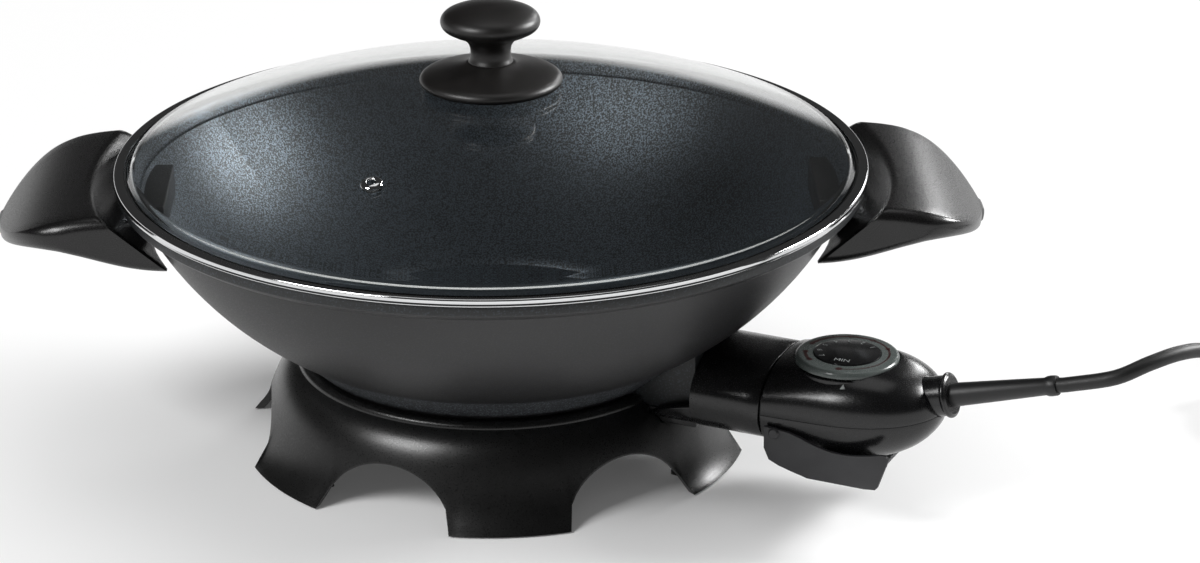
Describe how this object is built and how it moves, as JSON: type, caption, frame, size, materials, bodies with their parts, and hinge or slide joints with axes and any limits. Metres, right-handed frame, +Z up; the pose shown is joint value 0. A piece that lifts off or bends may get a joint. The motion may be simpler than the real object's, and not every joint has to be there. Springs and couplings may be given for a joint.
{
  "type": "electric wok",
  "caption": "Electric wok: a cast nonstick bowl on a flared arched stand, with a domed glass lid, side handles and a plug-in thermostat with a dial, a release lever and a mains lead.",
  "frame": {"origin": "middle of the stand, on the surface it stands on", "axes": "+Z up; +X along the line of the handles, to the right in the picture; +Y away from the viewer; the thermostat's axis is turned 27 degrees from +X towards -Y"},
  "size_m": [0.6902, 0.36, 0.22],
  "materials": {
    "nonstick_pan": "cast aluminium with a dark speckled nonstick coating",
    "heater_steel": "dull heat-darkened steel sheath",
    "bright_steel": "zinc-plated steel",
    "polished_steel": "polished stainless steel",
    "ceramic": "glazed ceramic",
    "handle_plastic": "satin heat-resisting plastic",
    "stand_plastic": "satin heat-resisting plastic",
    "foot_rubber": "matte rubber",
    "sleeve_plastic": "glossy black plastic",
    "lid_glass": "clear tempered glass",
    "knob_plastic": "matte black heat-resisting plastic",
    "washer_rubber": "matte silicone rubber",
    "housing_plastic": "satin black plastic",
    "nose_plastic": "matte heat-resisting plastic",
    "contact_brass": "bare brass",
    "blade_metal": "rolled bimetal strip",
    "lamp_glass": "orange glass",
    "dial_black": "black plastic with light numbers",
    "dial_smoke": "smoked plastic with a dark red scale",
    "lever_plastic": "matte dark grey plastic",
    "lead_rubber": "matte black rubber",
    "plug_plastic": "matte black plastic",
    "plug_pin_metal": "nickel-plated brass"
  },
  "bodies": {
    "cooker": {"pan": "nonstick_pan", "heating_element": "heater_steel", "terminal_pins": "bright_steel", "terminal_insulators": "ceramic", "probe_guide": "bright_steel", "left_handle": "handle_plastic", "right_handle": "handle_plastic", "left_handle_bracket": "bright_steel", "right_handle_bracket": "bright_steel", "handle_screws": "bright_steel", "stand": "stand_plastic", "rubber_feet": "foot_rubber", "stand_screws": "bright_steel", "socket_sleeve": "sleeve_plastic", "sleeve_screws": "bright_steel"},
    "lid": {"lid_glass": "lid_glass", "lid_rim": "polished_steel", "vent_eyelet": "polished_steel", "knob_skirt": "knob_plastic", "knob": "knob_plastic", "knob_screw": "bright_steel", "knob_washer": "washer_rubber"},
    "thermostat": {"housing_top": "housing_plastic", "housing_bottom": "housing_plastic", "plug_nose": "nose_plastic", "contact_sleeves": "contact_brass", "sensor_probe": "bright_steel", "thermostat_frame": "bright_steel", "switch_block": "ceramic", "bimetal_blade": "blade_metal", "pilot_lamp": "lamp_glass", "housing_screws": "bright_steel", "lever_pins": "bright_steel", "cord_collar": "housing_plastic", "strain_relief": "lead_rubber", "cord": "lead_rubber", "cord_coil": "lead_rubber", "coil_tie": "plug_plastic", "mains_plug": "plug_plastic", "plug_pins": "plug_pin_metal"},
    "dial": {"dial_disc": "dial_black", "dial_ring": "dial_smoke", "dial_shaft": "bright_steel"},
    "lever": {"release_lever": "lever_plastic"}
  },
  "joints": [
    {"name": "lid_lift", "type": "slide", "parent": "cooker", "child": "lid", "axis": [0, 0, 1], "range_m": [0, 0.12]},
    {"name": "thermostat_pull", "type": "slide", "parent": "cooker", "child": "thermostat", "axis": [0.891, -0.454, 0], "range_m": [0, 0.07]},
    {"name": "dial_turn", "type": "hinge", "parent": "thermostat", "child": "dial", "pos_m": [0.16439, -0.08376, 0.0711], "axis": [0, 0, -1], "range_deg": [0, 285]},
    {"name": "lever_press", "type": "hinge", "parent": "thermostat", "child": "lever", "pos_m": [0.14523, -0.074, 0.044], "axis": [0.454, 0.891, 0], "range_deg": [0, 15]}
  ]
}
